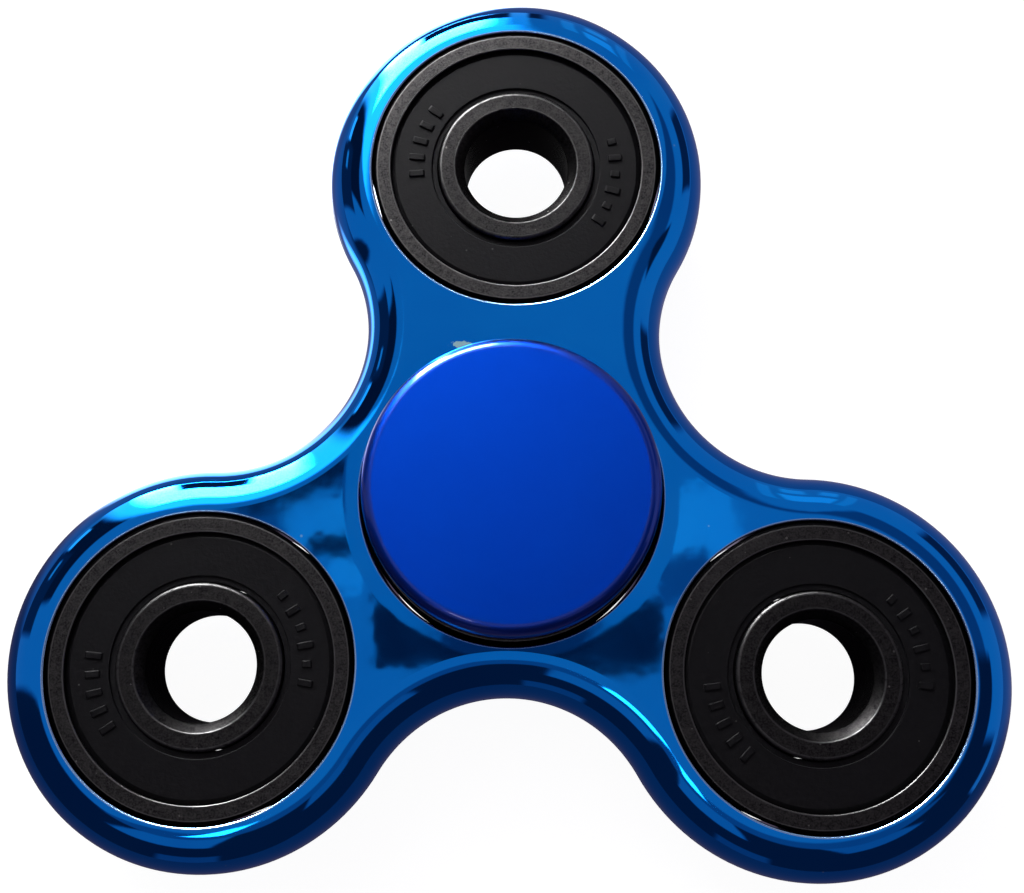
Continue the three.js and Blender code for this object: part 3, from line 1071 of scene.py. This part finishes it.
# The floor as the object mirrors it, painted like the panels. Flat directions have no elevation, so each
# panel is a whole sector.
FLOOR_BASE = 0.24
FLOOR_SECTORS = (
    (-102, 0, 74, 60, 14, 0.095),
    (152, 0, 12, 60, 10, 0.3),
)

# Window light on the floor, in metres: (x, y, half length, half width, turn in degrees, softness, level)
FLOOR_SHAPES = (
    (-0.016, 0.053, 0.022, 0.008, 116, 0.008, 5.0),
    (-0.029, 0.009, 0.008, 0.006, 118, 0.006, 2.6),
)


def soft_limit(tree, offset, half, softness):
    """1 where offset's size is below half, falling to 0 over the softness."""
    past = math_node(tree, "SUBTRACT", math_node(tree, "ABSOLUTE", offset), half)
    return ramp_between(tree, past, softness, 0.0)


def painted(tree, given, mask):
    """A group's given level, with its painted level over it where the mask is 1."""
    change = math_node(tree, "SUBTRACT", given["Painted level"], given["Level"])
    return math_node(tree, "MULTIPLY_ADD", mask, change, given["Level"])


def make_panel_group():
    """A soft-edged patch of the surroundings, painted over a level by direction. Angles are in radians."""
    inputs = {
        "Direction": VECTOR,
        "Level": 0.0,
        "Azimuth": 0.0,
        "Elevation": 0.5,
        "Half width": 0.3,
        "Half height": 0.2,
        "Softness": 0.1,
        "Painted level": 1.0,
    }
    tree, given, outputs = new_group("Panel", inputs, {"Level": FLOAT})
    x, y, z = add_node(tree, "ShaderNodeSeparateXYZ", {0: given["Direction"]}).outputs
    aside = math_node(tree, "SUBTRACT", math_node(tree, "ARCTAN2", y, x), given["Azimuth"])
    sine = math_node(tree, "SINE", aside)
    wrapped = math_node(tree, "ARCTAN2", sine, math_node(tree, "COSINE", aside))
    raised = math_node(tree, "SUBTRACT", math_node(tree, "ARCSINE", z), given["Elevation"])
    sideways = soft_limit(tree, wrapped, given["Half width"], given["Softness"])
    upwards = soft_limit(tree, raised, given["Half height"], given["Softness"])
    set_inputs(tree, outputs, Level=painted(tree, given, product(tree, sideways, upwards)))
    return tree


def make_ceiling_group():
    """A soft-edged turned rectangle on a ceiling one metre up, painted over a level by direction."""
    inputs = {
        "Direction": VECTOR,
        "Level": 0.0,
        "Centre": VECTOR,
        "Half length": 0.1,
        "Half width": 0.1,
        "Turn": 0.0,
        "Softness": 0.01,
        "Painted level": 1.0,
    }
    tree, given, outputs = new_group("Ceiling shape", inputs, {"Level": FLOAT})
    height = add_node(tree, "ShaderNodeSeparateXYZ", {0: given["Direction"]}).outputs["Z"]
    above = math_node(tree, "MAXIMUM", height, 0.05)
    scaled = {0: given["Direction"], "Scale": math_node(tree, "DIVIDE", 1.0, above)}
    place = add_node(tree, "ShaderNodeVectorMath", scaled, operation="SCALE").outputs[0]
    offset = vector_node(tree, "SUBTRACT", place, given["Centre"])
    turned_back = {"Vector": offset, "Angle": product(tree, given["Turn"], -1.0)}
    axes = add_node(tree, "ShaderNodeVectorRotate", turned_back, rotation_type="Z_AXIS")
    x, y, _ = add_node(tree, "ShaderNodeSeparateXYZ", {0: axes.outputs[0]}).outputs
    lengthways = soft_limit(tree, x, given["Half length"], given["Softness"])
    widthways = soft_limit(tree, y, given["Half width"], given["Softness"])
    overhead = math_node(tree, "GREATER_THAN", height, 0.3)
    mask = product(tree, product(tree, lengthways, widthways), overhead)
    set_inputs(tree, outputs, Level=painted(tree, given, mask))
    return tree


PANEL = make_panel_group()
CEILING_SHAPE = make_ceiling_group()


def level_tint(tree, level):
    """Dim surroundings are a little bluer than bright ones."""
    share = ramp_between(tree, level, 0.02, 0.7)
    return mix_colors(tree, share, (0.85, 0.66, 1.0, 1), (1.0, 1.0, 1.0, 1))


def paint_panels(tree, direction, level, panels):
    """Paints panels over a level, in their order."""
    for *angles, strength in panels:
        azimuth, elevation, width, height, softness = (math.radians(angle) for angle in angles)
        level = use_group(
            tree,
            PANEL,
            Direction=direction,
            Level=level,
            Azimuth=azimuth,
            Elevation=elevation,
            Half_width=width,
            Half_height=height,
            Softness=softness,
            Painted_level=strength,
        ).outputs["Level"]
    return level


def paint_shapes(tree, direction, level, shapes):
    """Paints flat shapes over a level, in their order."""
    for x, y, length, width, turn, softness, strength in shapes:
        level = use_group(
            tree,
            CEILING_SHAPE,
            Direction=direction,
            Level=level,
            Centre=(x, y, 1.0),
            Half_length=length,
            Half_width=width,
            Turn=math.radians(turn),
            Softness=softness,
            Painted_level=strength,
        ).outputs["Level"]
    return level


def make_surroundings():
    """Studio surroundings: even walls and ceiling, a tall window behind to the left, and a dark front."""
    world = bpy.data.worlds.new("studio")
    bpy.context.scene.world = world
    world.use_nodes = True
    tree = world.node_tree
    tree.nodes.clear()
    direction = tree.nodes.new("ShaderNodeTexCoord").outputs["Generated"]
    level = paint_panels(tree, direction, BASE_LEVEL, PANELS)
    level = paint_shapes(tree, direction, level, CEILING_SHAPES)
    light_path = tree.nodes.new("ShaderNodeLightPath").outputs
    gentle = math_node(tree, "MINIMUM", level, 2.0)
    levels = {0: light_path["Is Glossy Ray"], 2: gentle, 3: level}
    mirrored = add_node(tree, "ShaderNodeMix", levels).outputs[0]
    light = {"Color": level_tint(tree, mirrored), "Strength": mirrored}
    studio = add_node(tree, "ShaderNodeBackground", light).outputs[0]
    plain = {"Color": (1, 1, 1, 1), "Strength": 1.0}
    backdrop = add_node(tree, "ShaderNodeBackground", plain).outputs[0]
    shaders = {0: light_path["Is Camera Ray"], 1: studio, 2: backdrop}
    either = add_node(tree, "ShaderNodeMixShader", shaders)
    add_node(tree, "ShaderNodeOutputWorld", {"Surface": either.outputs[0]})


def make_floor():
    """A pale floor, which the object mirrors dimmer than the camera sees it."""
    half = 1.5
    corners = [(-half, -half, 0), (half, -half, 0), (half, half, 0), (-half, half, 0)]
    floor = mesh_object("floor", corners, [(0, 1, 2, 3)])
    material, tree, shader, place = new_material(
        "pale_floor",
        Roughness=0.9,
        Specular_IOR_Level=0.1,
        Base_Color=(0.2, 0.2, 0.2, 1),
        Emission_Color=(1, 1, 1, 1),
        Emission_Strength=0.95,
    )
    flat = vector_node(tree, "MULTIPLY", place, (1, 1, 0))
    level = paint_panels(tree, flat, FLOOR_BASE, FLOOR_SECTORS)
    level = paint_shapes(tree, vector_node(tree, "ADD", flat, (0, 0, 1)), level, FLOOR_SHAPES)
    light = {"Color": level_tint(tree, level), "Strength": level}
    dim = add_node(tree, "ShaderNodeEmission", light).outputs[0]
    seen = tree.nodes.new("ShaderNodeLightPath").outputs["Is Camera Ray"]
    either = add_node(tree, "ShaderNodeMixShader", {0: seen, 1: dim, 2: shader.outputs[0]})
    set_inputs(tree, tree.nodes["Material Output"], Surface=either.outputs[0])
    floor.data.materials.append(material)


def make_lights():
    """One wide soft key light, up and behind to the left, nearest the far arm."""
    data = bpy.data.lights.new("key", "AREA")
    data.shape = "RECTANGLE"
    data.size, data.size_y = 0.18, 0.12
    data.energy = 0.5
    light = bpy.data.objects.new("key", data)
    bpy.context.scene.collection.objects.link(light)
    light.location = (-0.12, 0.26, 0.22)
    light.rotation_euler = (Vector((0, 0.02, 0)) - light.location).to_track_quat("-Z", "Y").to_euler()
    light.visible_camera = False
    light.visible_glossy = False


# The camera hangs over the object, a little in front of it, and leans back towards the far arm
CAMERA_PLACE = (0.33 * MM, -15.15 * MM, 94.96 * MM)
CAMERA_ANGLES = (0.1939, 0.0035, 0.0133)
CAMERA_LENS = 46.14


def make_camera():
    data = bpy.data.cameras.new("camera")
    data.sensor_width = 36
    data.lens = CAMERA_LENS
    data.clip_start = 0.001
    camera = bpy.data.objects.new("camera", data)
    bpy.context.scene.collection.objects.link(camera)
    camera.location = Vector(CAMERA_PLACE) + Vector((0, 0, MIDDLE + RING_HALF))
    camera.rotation_mode = "ZYX"
    camera.rotation_euler = CAMERA_ANGLES
    bpy.context.scene.camera = camera


bpy.context.scene.view_settings.view_transform = "Standard"

make_camera()
make_surroundings()
make_lights()
make_floor()
make_shell()
make_caps()
for label in AXES:
    make_bearing(label)
